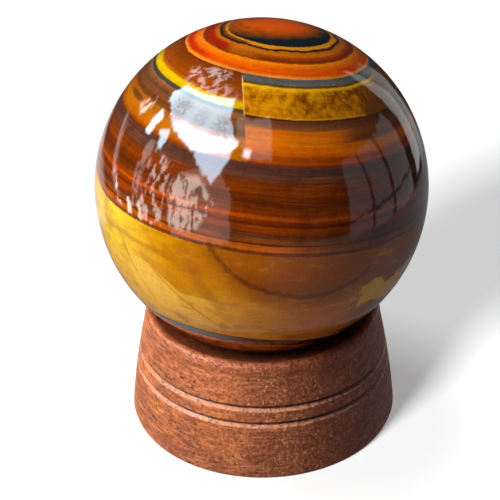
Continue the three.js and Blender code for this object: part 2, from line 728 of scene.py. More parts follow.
    @staticmethod
    def _middle(bench: Bench, at: StonePlace) -> bpy.types.NodeSocket:
        """The brown bands round the middle, with thin bright and dark lines.

        Args:
            bench: The material's bench.
            at: Where the point lies in the stone.

        Returns:
            The colour.
        """
        upper = (
            Band(15.8, (98, 54, 40), (78, 42, 36), 0.3),
            Band(15.0, (78, 44, 38), (92, 54, 42), 0.3),
            Band(13.8, (98, 50, 28), (114, 45, 2), 0.3),
            Band(12.8, (118, 47, 0), (122, 50, 0), 0.3),
            Band(11.6, (104, 40, 0), (90, 32, 0), 0.4),
            Band(10.1, (100, 39, 0), (118, 48, 0), 0.3),
            Band(9.1, (120, 47, 0), (130, 48, 0)),
            Band(8.62, (158, 64, 2), (168, 74, 2), 0.14),
            Band(8.1, (142, 50, 0), (122, 46, 0), 0.14),
            Band(7.66, (112, 42, 0), (100, 28, 0), 0.14),
        )
        lower = (
            Band(7.3, (98, 26, 0), (112, 34, 0), 0.14),
            Band(7.08, (138, 54, 0), (138, 53, 0), 0.16),
            Band(6.1, (112, 44, 14), (94, 46, 20), 0.2),
            Band(5.35, (104, 56, 24), (130, 66, 34), 0.2),
            Band(4.9, (138, 68, 22), (134, 60, 0), 0.2),
            Band(4.32, (84, 32, 2), (96, 38, 0), 0.08),
            Band(4.12, (150, 72, 2), (178, 82, 0), 0.14),
            Band(3.5, (182, 86, 2), (176, 82, 0)),
            Band(3.08, (108, 48, 16), (122, 60, 20), 0.14),
        )
        above = ramp_of_bands(bench, at.height, upper, 7.2)
        below = ramp_of_bands(bench, at.height, lower, 2.4)
        colour = bench.blend(at.height.fall(7.28, 7.36), above, below)
        cloud = bench.speckle(at.spot, 0.28, 4.0, 0.65)
        colour = bench.tint(colour, cloud.rise(0.48, 0.64) * 0.45, (74, 32, 6))
        hair = bench.speckle(bench.joined(at.across * 0.1, at.deep * 0.1, at.height * 4.0), 1.0, 4.0, 0.75)
        colour = bench.tint(colour, hair.rise(0.54, 0.66) * 0.4, (58, 20, 4))
        colour = bench.tint(colour, hair.fall(0.34, 0.43) * 0.3, (176, 88, 12))
        # Painted shade: darker brown over the right-hand side of the lowest middle bands.
        middle_right_shade = Stain((2.9, 5.2, 0.4), (16.0, 150.0, 24.0), 0.5, (74, 30, 4))
        glow = Stain((3.2, 4.1, 0.2), (-30.0, 12.0, 14.0), 0.4, (205, 95, 8))
        return stained(bench, at, colour, (middle_right_shade, glow))

    @staticmethod
    def _gold(bench: Bench, at: StonePlace) -> bpy.types.NodeSocket:
        """The golden lower half, down to the blue-grey layer and the brown under it.

        Args:
            bench: The material's bench.
            at: Where the point lies in the stone.

        Returns:
            The colour.
        """

        def by_side(stops: Sequence[tuple[float, tuple[int, int, int]]]) -> bpy.types.NodeSocket:
            """Colours the stone by how far to the right it is, in millimetres."""
            scaled = [((place + 30.0) / 60.0, tone(*colour)) for place, colour in stops]
            node = bench.place("ShaderNodeValToRGB", {"stops": scaled}, {"Fac": (at.across + 30.0) / 60.0})
            return node.outputs["Color"]

        body = by_side((
            (-29.0, (205, 165, 5)),
            (-24.0, (226, 192, 0)),
            (-18.0, (206, 146, 0)),
            (-12.0, (194, 122, 0)),
            (-4.0, (186, 104, 0)),
            (4.0, (174, 84, 0)),
            (12.0, (166, 76, 0)),
            (22.0, (160, 70, 0)),
            (29.0, (150, 66, 4)),
        ))
        under = by_side((
            (-29.0, (225, 165, 30)),
            (-20.0, (232, 172, 40)),
            (-10.0, (236, 166, 38)),
            (0.0, (232, 144, 20)),
            (10.0, (214, 112, 4)),
            (18.0, (186, 78, 2)),
            (29.0, (150, 66, 4)),
        ))
        golden = bench.blend(at.height.fall(-10.5, -1.5), body, under)
        mist = bench.speckle(at.spot, 0.16, 4.0, 0.6)
        stain = bench.speckle(at.spot, 0.32, 4.0, 0.65)
        golden = bench.tint(golden, mist.rise(0.5, 0.66) * 0.45, (150, 84, 8))
        wisps = bench.speckle(bench.joined(at.across, at.deep, at.height * 3.0), 0.24, 5.0, 0.68)
        golden = bench.tint(golden, wisps.rise(0.48, 0.68) * 0.4, (148, 82, 4))
        golden = bench.tint(golden, wisps.fall(0.3, 0.48) * 0.3, (244, 190, 40))
        # Painted shade: brown laid over the right-hand side of the gold, strongest near its top.
        gold_right_shade = (at.height + (stain - 0.5) * 6.0 - at.across * 0.05).rise(-0.4, 2.8)
        golden = bench.tint(golden, gold_right_shade * at.turn.within(-22.0, 150.0, 35.0) * 0.5, (140, 72, 4))

        upper_streak = Stain((-1.55, -0.75, 0.7), (-60.0, -24.0, 12.0), 0.7, (180, 118, 0))
        pale_streak = Stain((-3.0, -1.9, 0.5), (-52.0, -28.0, 10.0), 0.45, (225, 172, 6))
        shelf = Stain((-9.2, -7.7, 0.3), (-27.0, -12.0, 5.0), 0.6, (240, 180, 60))
        golden = stained(bench, at, golden, (upper_streak, pale_streak, shelf))
        right_of_crack = (at.height + (at.turn + 37.0) * 0.27 + 4.4).rise(-0.3, 0.3)
        amber = Stain((-7.55, -3.2, 0.25), (-46.0, -13.0, 5.0), 0.65, (198, 126, 0))
        low_amber = Stain((-12.2, -9.6, 0.4), (-27.0, -6.0, 5.0), 0.6, (214, 136, 4))
        golden = stained(bench, at, golden, (amber, low_amber), right_of_crack)
        pale = Stain((-10.5, -4.2, 1.0), (-46.0, -26.0, 4.0), 0.55, (236, 186, 60))
        golden = stained(bench, at, golden, (pale,), 1.0 - right_of_crack)

        bowl = (((at.turn - 9.0) / 27.0) ** 2.0 + ((at.height - 2.8) / 7.6) ** 2.0).fall(0.75, 1.0)
        golden = bench.tint(golden, bowl * at.height.fall(-3.0, 2.6) * 0.6, (158, 74, 0))
        patch = at.turn + (stain - 0.5) * 26.0
        olive = patch.within(34.0, 64.0, 6.0) * (at.height + (mist - 0.5) * 8.0).within(-9.6, -4.4, 1.2)
        golden = bench.tint(golden, olive * 0.85, (228, 166, 40))
        # Painted shade: brown over the lower right-hand side, leaving out the olive patch.
        shade = at.turn.within(36.0, 140.0, 14.0) * (1.0 - olive) * at.height.fall(-3.0, 1.0)
        golden = bench.tint(golden, shade * 0.5, (120, 52, 4))

        foot = Stain((-16.6, -14.4, 0.4), (12.0, 150.0, 6.0), 0.7, (168, 86, 4))
        golden = stained(bench, at, golden, (foot,))
        front = at.across * -0.139 - at.deep * 0.99
        level = at.height - (front - 25.2) * 0.25
        seam = level.within(-17.7, -15.95, 0.22)
        grey = bench.blend(at.turn.within(-9.0, 150.0, 26.0), tone(40, 120, 142), tone(50, 44, 44))
        golden = bench.tint(golden, level.within(-16.0, -15.4, 0.3) * 0.5, (190, 110, 40))
        golden = bench.blend(seam, golden, grey)
        golden = bench.tint(golden, level.within(-16.15, -15.95, 0.1), (34, 34, 36))
        rust = bench.blend(stain.rise(0.45, 0.6), tone(205, 92, 18), tone(150, 62, 14))
        return bench.blend(level.fall(-17.85, -17.6), golden, rust)


@dataclass
class StoneSphere:
    """The polished ball of stone."""

    node: str = "stone_sphere"
    slot: str = "banded_stone"
    cells: int = 88
    piece: bpy.types.Object | None = field(default=None, init=False)

    def __post_init__(self) -> None:
        """Reads the stone's place and size from the frame."""
        low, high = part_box(self.node)
        self.centre = (low + high) / 2.0
        self.radius = (high.z - low.z) / 2.0

    def build(self) -> bpy.types.Object:
        """Builds the ball as a cube of even cells drawn out to the sphere.

        Returns:
            The finished piece.
        """
        turns = np.tan(np.linspace(-math.pi / 4, math.pi / 4, self.cells + 1))
        number: dict[tuple[int, int, int], int] = {}
        points: list[np.ndarray] = []
        faces: list[list[int]] = []

        def corner(spot: tuple[int, int, int]) -> int:
            """Finds a vertex, and adds it if it is new.

            Args:
                spot: Its place on the cube's grid.

            Returns:
                The vertex's number.
            """
            if spot not in number:
                number[spot] = len(points)
                outward = np.array([turns[step] for step in spot])
                points.append(outward / np.linalg.norm(outward))
            return number[spot]

        for axis in range(3):
            for end in (0, self.cells):
                for i in range(self.cells):
                    for j in range(self.cells):
                        ring = []
                        for step_i, step_j in ((0, 0), (1, 0), (1, 1), (0, 1)):
                            spot = [0, 0, 0]
                            spot[axis] = end
                            spot[(axis + 1) % 3] = i + step_i
                            spot[(axis + 2) % 3] = j + step_j
                            ring.append(corner((spot[0], spot[1], spot[2])))
                        faces.append(ring if end else ring[::-1])
        ball = np.array(points) * self.radius + np.array(self.centre)
        self.piece = add_mesh("polished_stone_ball", ball, faces)
        return self.piece

    def dress(self) -> None:
        """Gives the ball its stone finish and ties it to the frame."""
        finish = StoneFinish(tuple(self.centre), self.radius / MM)
        self.piece.data.materials.append(finish.build())
        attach(self.piece, "root")
        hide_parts(self.node)


# --------------------------------------------------------------------------------------
# Turned stand
# --------------------------------------------------------------------------------------


@dataclass(frozen=True)
class WoodFinish:
    """Oiled reddish-brown hardwood with open pores, its grain running from front to back."""

    groove_heights_mm: tuple[float, ...]
    rim_height_mm: float
    seat_radius_mm: float
    grain: tuple[float, float] = (-0.17, 0.985)
    ior: float = 1.45
    roughness: float = 0.36

    def build(self) -> bpy.types.Material:
        """Builds the stand's material.

        Returns:
            The finished material.
        """
        material, bench = new_material("turned_hardwood")
        place = bench.position_mm((0.0, 0.0, 0.0))
        grain_x, grain_y = self.grain
        side = bench.along(place, (grain_y, -grain_x, 0.0))
        along = bench.along(place, (grain_x, grain_y, 0.0))
        height = bench.along(place, (0.0, 0.0, 1.0))
        radius = (side * side + along * along) ** 0.5
        end_grain = (abs(along) / radius.at_least(0.1)).rise(0.78, 0.98)
        grain = bench.joined(side, along * 0.13, height)
        wavy = bench.speckle(grain, 0.35, 2.0) - 0.5
        streak_place = bench.joined(side, along * 0.1, height + wavy * 1.2)

        cloud = bench.speckle(bench.joined(side, along * 0.5, height), 0.14, 3.0, 0.6)
        colour = bench.blend(cloud.rise(0.36, 0.64), tone(140, 76, 46), tone(172, 98, 58))
        # Painted shade: darker, redder colour on the right, the side away from the light.
        right_side_shade = (side + 2.0).rise(-6.0, 16.0)
        colour = bench.tint(colour, right_side_shade * 0.6, (134, 50, 28))
        # Orange patches kept to the lit left side: patchy tone that is partly painted light.
        amber = bench.speckle(place, 0.2, 2.0).rise(0.5, 0.66) * side.fall(-16.0, -4.0)
        colour = bench.tint(colour, amber * 0.5, (206, 112, 44))
        streak = bench.speckle(streak_place, 1.3, 4.0, 0.7)
        colour = bench.tint(colour, streak.rise(0.47, 0.62) * 0.6, (98, 44, 26))
        colour = bench.tint(colour, streak.fall(0.36, 0.46) * 0.4, (208, 130, 80))

        # Turning marks, both stronger on the lit left side; the pale lines are a painted sheen there.
        turning = bench.speckle(bench.joined(side * 0.08, along * 0.08, height), 2.6, 4.0, 0.75)
        lit_side = side.fall(-8.0, 10.0)
        colour = bench.tint(colour, turning.rise(0.5, 0.64) * (lit_side * 0.16 + 0.05), (88, 38, 22))
        colour = bench.tint(colour, turning.fall(0.38, 0.48) * (lit_side * 0.26 + 0.02), (228, 162, 122))

        dash = bench.speckle(streak_place, 2.1, 1.0).rise(0.6, 0.68) * (1.0 - end_grain * 0.7)
        colour = bench.tint(colour, dash * 0.75, (58, 24, 14))
        patch = bench.speckle(place, 0.22, 2.0).rise(0.4, 0.62)
        mottle = bench.speckle(bench.joined(side, along * 0.4, height * 0.75), 1.15, 4.0, 0.7)
        colour = bench.tint(colour, mottle.rise(0.5, 0.62) * end_grain * 0.5, (96, 46, 30))
        fleck = bench.speckle(bench.joined(side, along * 0.4, height), 2.1, 2.0, 0.6)
        pale_fleck = fleck.rise(0.57, 0.68) * end_grain * patch
        colour = bench.tint(colour, pale_fleck * 0.75, (222, 150, 112))
        pit = fleck.fall(0.3, 0.4) * end_grain
        colour = bench.tint(colour, pit * 0.6, (56, 24, 16))

        rag = bench.speckle(place, 1.7, 3.0, 0.65)
        torn = (rag - 0.5) * 0.55
        for groove in self.groove_heights_mm:
            # Painted highlight: a pale band on the upward-facing lower flank of each groove.
            flank_highlight = (height + torn).within(groove - 0.72, groove - 0.2, 0.16)
            colour = bench.tint(colour, flank_highlight * rag.rise(0.3, 0.56) * 0.6, (214, 156, 128))
            # Painted shade: dark colour in each groove, under its overhanging upper wall.
            cut = (height + torn * 0.3).within(groove - 0.2, groove + 0.5, 0.16)
            colour = bench.tint(colour, cut * 0.92, (46, 18, 10))
        # Painted highlight: a pale, ragged strip along the rounded top edge of the rim.
        rim = (height + torn * 1.4).rise(self.rim_height_mm - 0.55, self.rim_height_mm - 0.2)
        colour = bench.tint(colour, rim * rag.rise(0.48, 0.66) * 0.35, (212, 140, 108))
        # Painted shade: dark colour inside the seat, under the ball.
        inner = self.seat_radius_mm
        seat = (radius + torn * 0.5).fall(inner - 0.35, inner + 0.1) * height.rise(6.0, 9.0)
        colour = bench.tint(colour, seat * 0.72, (58, 22, 14))

        worked = streak * 0.5 + turning * 0.5 - dash * 0.8 + (mottle * 1.4 + fleck * 1.2) * end_grain
        relief = bench.place(
            "ShaderNodeBump", None, {"Strength": 0.7, "Distance": 0.2 * MM, "Height": worked}
        )
        shader = bench.place(
            "ShaderNodeBsdfPrincipled",
            None,
            {
                "Base Color": colour,
                "Roughness": self.roughness + streak * 0.2 + end_grain * 0.12,
                "IOR": self.ior,
                "Normal": relief.outputs[0],
            },
        )
        bench.place("ShaderNodeOutputMaterial", None, {"Surface": shader.outputs[0]})
        return material


@dataclass
class TurnedStand:
    """The wooden stand, turned from one block, with two grooves and a dished seat."""

    node: str = "wooden_stand"
    slot: str = "turned_hardwood"
    columns: int = 560
    side_lean: float = 0.117
    side_bow: float = 3.3
    foot_edge: float = 0.6 * MM
    groove_heights: tuple[float, ...] = (11.0 * MM, 14.1 * MM)
    groove_depth: float = 0.7 * MM
    groove_above: float = 0.36 * MM
    groove_below: float = 0.66 * MM
    shoulder_height: float = 19.9 * MM
    shoulder_steps: int = 14
    fine_step: float = 0.11 * MM
    plain_step: float = 0.24 * MM
    crest_radius: float = 21.7 * MM
    inner_radius: float = 20.9 * MM
    inner_height: float = 21.7 * MM
    seat_gap: float = 0.3 * MM
    floor_radius: float = 7.5 * MM
    floor_height: float = 15.2 * MM
    piece: bpy.types.Object | None = field(default=None, init=False)

    def __post_init__(self) -> None:
        """Reads the stand's foot and height from the frame."""
        low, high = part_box(self.node)
        self.foot_radius = (high.x - low.x) / 2.0
        self.crest_height = high.z

    def side_radius(self, height: float) -> float:
        """The radius of the plain side at a height."""
        return self.foot_radius - self.side_lean * height - self.side_bow * height**2

    def groove_at(self, height: float) -> float:
        """Finds how deep the grooves cut.

        Args:
            height: A height above the floor.

        Returns:
            The depth there, which is nothing away from the grooves.
        """
        for groove in self.groove_heights:
            rise = height - groove
            if -self.groove_below < rise <= 0.0:
                return self.groove_depth * (1.0 + rise / self.groove_below)
            if 0.0 < rise < self.groove_above:
                return self.groove_depth * (1.0 - rise / self.groove_above)
        return 0.0

    def seat_point(self) -> tuple[float, float]:
        """Finds where the conical seat ends at its flat floor.

        Returns:
            The radius and height of that edge.
        """
        low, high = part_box("stone_sphere")
        reach = (high.z - low.z) / 2.0 + self.seat_gap
        drop = (high.z + low.z) / 2.0 - self.inner_height
        distance = math.hypot(self.inner_radius, drop)
        slope = math.atan2(self.inner_radius, drop) - math.acos(reach / distance)
        fall = (self.inner_radius - self.floor_radius) * math.tan(slope)
        return self.floor_radius, self.inner_height - fall

    def section(self) -> list[tuple[float, float]]:
        """Works out the stand's outline, from the underside round to the seat's middle.

        Returns:
            Pairs of radius and height.
        """
        rows = [(self.foot_radius * share, 0.0) for share in (0.25, 0.5, 0.75, 0.9, 0.965)]
        rows.append((self.foot_radius - self.foot_edge * 0.9, 0.0))
        rows.append((self.foot_radius - self.foot_edge * 0.35, 0.2 * MM))
        height = self.foot_edge
        while height < self.shoulder_height:
            rows.append((self.side_radius(height) - self.groove_at(height), height))
            near = min(abs(height + 0.2 * MM - groove) for groove in self.groove_heights)
            height += self.fine_step if near < 1.0 * MM else self.plain_step
        across = self.side_radius(self.shoulder_height) - self.crest_radius
        up = self.crest_height - self.shoulder_height
        for step in range(self.shoulder_steps + 1):
            turn = math.pi / 2 * step / self.shoulder_steps
            rows.append((
                self.crest_radius + across * math.cos(turn),
                self.shoulder_height + up * math.sin(turn),
            ))
        for share in (0.35, 0.7, 1.0):
            rows.append((
                self.crest_radius + (self.inner_radius - self.crest_radius) * share,
                self.crest_height + (self.inner_height - self.crest_height) * share**2,
            ))
        end_radius, end_height = self.seat_point()
        for share in (0.04, 0.1, 0.18, 0.3, 0.45, 0.6, 0.8, 1.0):
            rows.append((
                self.inner_radius + (end_radius - self.inner_radius) * share,
                self.inner_height + (end_height - self.inner_height) * share,
            ))
        rows += [(self.floor_radius, self.floor_height), (self.floor_radius * 0.5, self.floor_height)]
        return rows

    def relief(self, point: Vector) -> float:
        """Finds how far the worked surface stands out from the plain outline.

        Args:
            point: A point on the plain outline.

        Returns:
            How far it is moved outwards, in metres.
        """
        end_grain = (abs(point.y) / max(1e-6, math.hypot(point.x, point.y))) ** 3
        fibres = noise.noise(Vector((point.x / (0.6 * MM), point.y / (5.0 * MM), point.z / (0.5 * MM))))
        crumbs = noise.noise(point / (0.62 * MM))
        torn = (fibres * 0.035 + crumbs * 0.075 * end_grain) * MM
        ring = noise.noise(Vector((0.0, 3.0, point.z / (0.45 * MM)))) * 0.02 * MM
        rim = math.exp(-(((point.z - self.crest_height) / (0.5 * MM)) ** 2))
        lips = 0.0
        for groove in self.groove_heights:
            lips += math.exp(-(((point.z - groove + 0.6 * MM) / (0.25 * MM)) ** 2))
        rag = noise.noise(point / (0.55 * MM)) * 0.09 * MM * (rim + lips)
        return torn + ring + rag

    def build(self) -> bpy.types.Object:
        """Builds the stand by turning its section, then working its surface.

        Returns:
            The finished piece.
        """
        section = self.section()
        count = self.columns
        points = [Vector((0.0, 0.0, 0.0))]
        for radius, height in section:
            for column in range(count):
                turn = 2.0 * math.pi * column / count
                point = Vector((radius * math.cos(turn), radius * math.sin(turn), height))
                if height > self.foot_edge and radius > self.floor_radius:
                    out = Vector((math.cos(turn), math.sin(turn), 0.35)).normalized()
                    point += out * self.relief(point)
                points.append(point)
        points.append(Vector((0.0, 0.0, self.floor_height)))
        faces: list[list[int]] = []
        for column in range(count):
            after = (column + 1) % count
            faces.append([0, 1 + after, 1 + column])
            for row in range(len(section) - 1):
                start = 1 + row * count
                faces.append([start + column, start + after, start + count + after, start + count + column])
            last = 1 + (len(section) - 1) * count
            faces.append([last + column, last + after, len(points) - 1])
        self.piece = add_mesh("turned_wood_stand", np.array(points), faces)
        return self.piece

    def dress(self) -> None:
        """Gives the stand its wood finish and ties it to the frame."""
        grooves = tuple(height / MM for height in self.groove_heights)
        finish = WoodFinish(grooves, self.crest_height / MM, self.inner_radius / MM)
        self.piece.data.materials.append(finish.build())
        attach(self.piece, "root")
        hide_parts(self.node)


# --------------------------------------------------------------------------------------
# Studio
# --------------------------------------------------------------------------------------


@dataclass(frozen=True)
class Pane:
    """One patch of the surroundings as the polish mirrors it: a window, a wall or a dark bar.

    Corners are pairs of bearing and elevation in degrees, anticlockwise, with no inward bend.
    Bearing runs from the camera's side, positive to the right. A leafy patch shows only where the
    pattern of leaves is above its threshold.
    """

    corners: tuple[tuple[float, float], ...]
    colour: tuple[float, float, float]
    strength: float
    blur: float = 1.5
    leaves: float | None = None

    def cover(self, bearing: np.ndarray, elevation: np.ndarray, leaf: np.ndarray) -> np.ndarray:
        """Finds where the patch lies.

        Args:
            bearing: The bearing of each direction.
            elevation: Its elevation.
            leaf: The pattern of leaves in that direction.

        Returns:
            A mask that is 1 inside the patch.
        """
        inside = np.ones_like(bearing)
        for (x0, y0), (x1, y1) in zip(self.corners, self.corners[1:] + self.corners[:1]):
            length = math.hypot(x1 - x0, y1 - y0)
            over, up = (y0 - y1) / length, (x1 - x0) / length
            depth = (bearing - x0) * over + (elevation - y0) * up
            inside = inside * ramp(depth, -self.blur / 2, self.blur / 2)
        if self.leaves is not None:
            inside = inside * ramp(leaf, self.leaves - 0.12, self.leaves + 0.14)
        return inside


@dataclass(frozen=True)
class Frond:
    """A fan of palm leaves against the sky, as dark streaks round a middle."""

    middle: tuple[float, float]
    reach: float
    density: float
    squash: float = 1.6

    def cover(self, bearing: np.ndarray, elevation: np.ndarray) -> np.ndarray:
        """Finds where the streaks lie.

        Args:
            bearing: The bearing of each direction.
            elevation: Its elevation.

        Returns:
            A mask that is as strong as the leaves are dense.
        """
        over, up = bearing - self.middle[0], (elevation - self.middle[1]) * self.squash
        away = np.hypot(over, up) / self.reach
        turn = np.arctan2(up, over)
        broad = np.sin(turn * 19.0 + 2.0 * np.sin(turn * 3.0) + away * 3.0)
        streaks = broad + np.sin(turn * 43.0 - away * 5.0)
        return ramp(streaks, -0.7, 0.5) * (1.0 - ramp(away, 0.25, 1.0)) * self.density


def ramp(value: np.ndarray, start: float, end: float) -> np.ndarray:
    """Goes smoothly from 0 at start to 1 at end, for a whole array.

    Args:
        value: The values.
        start: Where the result leaves 0.
        end: Where the result reaches 1, above start.

    Returns:
        A mask between 0 and 1 for each value.
    """
    share = np.clip((value - start) / (end - start), 0.0, 1.0)
    return share * share * (3.0 - 2.0 * share)


SKY = (0.56, 0.84, 1.0)
DAYLIGHT = (1.0, 0.97, 0.99)
HAZE = (0.62, 0.8, 1.0)
CREAM = (1.0, 0.9, 0.8)
ROSE = (1.0, 0.86, 0.82)
BAR = (1.0, 0.9, 0.9)
WALL = (0.95, 1.0, 0.98)
WHITE = (1.0, 1.0, 1.0)
DIM = (0.06, 0.06, 0.06)
DARK = (0.03, 0.03, 0.03)


@dataclass
class Surroundings:
    """A dome seen only in the polish: sky through a window, a room and the table round the stone."""

    aim: Vector
    radius: float = 1.5
    columns: int = 640
    rows: int = 320
    air: float = 0.03
    table_edge: float = -14.0
    table_glow: tuple[float, float, float] = (0.24, 0.25, 0.26)
    bright_table_glow: tuple[float, float, float] = (0.5, 0.48, 0.46)
    raggedness: float = 1.2
    frond_threshold: float = 10.0
    panes: tuple[Pane, ...] = (
        Pane(((-60, -15), (-19.5, -14), (-20.5, 20), (-35, 36), (-62, 20)), ROSE, 1.4, 1.2),
        Pane(((-44, 66), (-24, 53), (-13, 38), (9, 41), (15, 69)), CREAM, 1.9, 1.2),
        Pane(((-138, 46), (-118, 47), (-86, 62), (-60, 72), (-66, 77), (-138, 71)), ROSE, 7.0, 6.0, 0.04),
        Pane(((-56, 36), (-35, 21.5), (-26.5, 39.5), (-27, 50), (-50, 52)), HAZE, 15.0, 2.5),
        Pane(
            (
                (-117, 41), (-92, 38.5), (-57, 36), (-27, 44), (-20.8, 50),
                (-53, 70), (-68, 75), (-88, 67), (-118, 49),
            ),
            SKY,
            17.0,
            2.0,
        ),
        Pane(
            ((-88, 40), (-57, 37), (-27, 44), (-22, 49), (-40, 53), (-60, 48.5), (-84, 46)),
            DAYLIGHT,
            30.0,
            3.0,
        ),
        Pane(((-107.5, 35.5), (-106, 28), (-103.5, 23.5), (-98.7, 24.4), (-98.7, 35)), SKY, 24.0),
        Pane(((-93, 32), (-88, 27), (-82.5, 25), (-82.5, 34), (-87, 36.5)), SKY, 17.0),
        Pane(((-128, 20), (-118, 21), (-115, 30), (-121, 31.5)), ROSE, 11.0, 2.5, -0.05),
        Pane(((-15.5, 42.5), (-9.5, 41.5), (-8.5, 47), (-14.5, 47.5)), DAYLIGHT, 20.0, 4.0),
        Pane(((-64, 15), (-60, -9), (-43, -9), (-30, 10), (-44, 25.5), (-62, 21)), CREAM, 9.0, 3.0, -0.12),
        Pane(((-45, -12), (-43, -12), (-42.6, 8), (-44.6, 8)), ROSE, 1.0, 0.8),
        Pane(((-62, 3), (-32, 6), (-32, 7.2), (-62, 4.2)), ROSE, 1.5, 0.8),
        Pane(((-95, 24), (-93, -9), (-87, -9), (-87, 20), (-90, 26)), ROSE, 3.0, 1.5, -0.25),
        Pane(((-86, 26), (-84, -12), (-66, -12), (-66, 24)), ROSE, 8.0, 2.0, 0.12),
        Pane(((-132, 10), (-112, -10), (-106, -10), (-126, 12)), ROSE, 1.6, 2.5),
        Pane(((-116, -3), (-105, -13), (-101, -13), (-111, -3)), CREAM, 11.0, 1.5, 0.0),
        Pane(((-97, -6), (-95, -13), (-91, -13), (-92, -6)), CREAM, 12.0, 1.0, -0.1),
        Pane(((-88, -4), (-86, -12), (-82.5, -12), (-84, -4)), CREAM, 11.0, 1.0, -0.1),
        Pane(((57, -17), (118, -14), (118, 22), (60, 27)), (0.9, 0.95, 1.0), 0.5, 1.2),
        Pane(((94, -15), (97, -15), (96, 24), (93, 24)), BAR, 0.06, 1.0),
        Pane(((75, -16), (77.5, -16), (76.5, 26), (74, 26)), BAR, 0.08, 1.0),
        Pane(((57, -8.5), (118, -5.5), (118, -4), (57, -6.5)), BAR, 0.12, 1.0),
        Pane(((139, -14), (152, -14), (152, 6), (146, 20), (139, 26)), WALL, 0.55, 5.0),
        Pane(((126, -12), (139, -10), (141, 8), (134, 38), (129, 30)), WALL, 1.15, 1.4),
        Pane(((-170, -30), (-130, -26), (-127, -12), (-150, -10), (-170, -14)), (1.0, 0.96, 0.93), 0.9, 5.0),
    )
    fronds: tuple[Frond, ...] = (
        Frond((-97.0, 47.0), 17.0, 0.95),
        Frond((-44.0, 58.0), 20.0, 0.95),
        Frond((-72.0, 53.0), 14.0, 0.6),
    )
    shaded_sky: tuple[float, float, float] = (2.0, 3.4, 5.0)

    def leaf_pattern(self, outward: np.ndarray) -> np.ndarray:
        """Noise between about -1 and 1 in every direction, drawn out upwards like stems and leaves."""
        stretch = Vector((15.0, 15.0, 7.0))
        return np.array([noise.fractal(Vector(spot) * stretch, 0.6, 2.1, 4) for spot in outward])

    def paint(self, outward: np.ndarray) -> np.ndarray:
        """Works out what is seen in each direction.

        Args:
            outward: Unit directions, one a row.

        Returns:
            The radiance in each direction, one colour a row.
        """
        bearing = np.degrees(np.arctan2(outward[:, 0], -outward[:, 1]))
        elevation = np.degrees(np.arcsin(np.clip(outward[:, 2], -1.0, 1.0)))
        leaf = self.leaf_pattern(outward)
        seen = np.full((len(outward), 3), self.air)

        def lay(cover: np.ndarray, colour: Sequence[float]) -> None:
            """Lays a colour over what is seen already."""
            seen[:] = seen + (np.array(colour) - seen) * cover[:, None]

        table = 1.0 - ramp(elevation, self.table_edge - 1.5, self.table_edge + 1.5)
        lay(table, self.table_glow)
        lay(table * (1.0 - ramp(bearing, -100.0, -72.0)), self.bright_table_glow)
        under_camera = ramp(bearing, -85.0, -70.0) * (1.0 - ramp(bearing, -3.0, 12.0))
        lay(table * under_camera * ramp(elevation, -62.0, -48.0) * 0.85, DARK)
        behind = ramp(np.abs(bearing), 90.0, 130.0) * (1.0 - ramp(elevation, -30.0, -20.0))
        lay(table * behind * 0.55, DIM)
        rag = leaf * self.raggedness
        for pane in self.panes:
            light = [part * pane.strength for part in pane.colour]
            lay(pane.cover(bearing + rag, elevation + rag, leaf), light)
        for frond in self.fronds:
            lay(frond.cover(bearing, elevation) * (seen[:, 2] > self.frond_threshold), self.shaded_sky)
        return seen

    def build(self) -> bpy.types.Object:
        """Builds the dome.

        Returns:
            The finished dome.
        """
        rise = np.linspace(-math.pi / 2, math.pi / 2, self.rows + 1)[:, None]
        turn = np.linspace(0.0, 2.0 * math.pi, self.columns, endpoint=False)[None, :]
        level = np.cos(rise)
        outward = np.stack(
            (level * np.sin(turn), -level * np.cos(turn), np.sin(rise) * np.ones_like(turn)), axis=-1
        ).reshape(-1, 3)
        row = np.arange(self.rows)[:, None] * self.columns
        column = np.arange(self.columns)[None, :]
        after = (column + 1) % self.columns
        faces = np.stack(
            (row + column, row + after, row + self.columns + after, row + self.columns + column), axis=-1
        ).reshape(-1, 4)
        dome = add_mesh("surroundings", outward * self.radius + np.array(self.aim), faces.tolist())
        glow = dome.data.attributes.new("glow", "FLOAT_COLOR", "POINT")
        painted = np.concatenate((self.paint(outward), np.ones((len(outward), 1))), axis=1)
        glow.data.foreach_set("color", painted.ravel())
        material, bench = new_material("surroundings")
        light = bench.place("ShaderNodeAttribute", {"attribute_name": "glow"}).outputs["Color"]
        shine = bench.place("ShaderNodeEmission", None, {"Color": light, "Strength": 1.0})
        bench.place("ShaderNodeOutputMaterial", None, {"Surface": shine.outputs[0]})
        material.cycles.emission_sampling = "NONE"
        dome.data.materials.append(material)
        for ray in ("camera", "diffuse", "transmission", "volume_scatter", "shadow"):
            setattr(dome, f"visible_{ray}", False)
        return dome


class Lit(Enum):
    """What a panel shines on."""

    PIECES = "lit_pieces"
    FLOOR = "lit_floor"


@dataclass(frozen=True)
class Panel:
    """A square soft light that looks at the stone and lights only what it is meant for.

    azimuth is degrees from straight behind the stone, positive to the right; elevation is degrees up.
    """

    name: str
    azimuth: float
    elevation: float
    distance: float
    width: float
    power: float
    colour: tuple[float, float, float]
    lit: Lit = Lit.PIECES


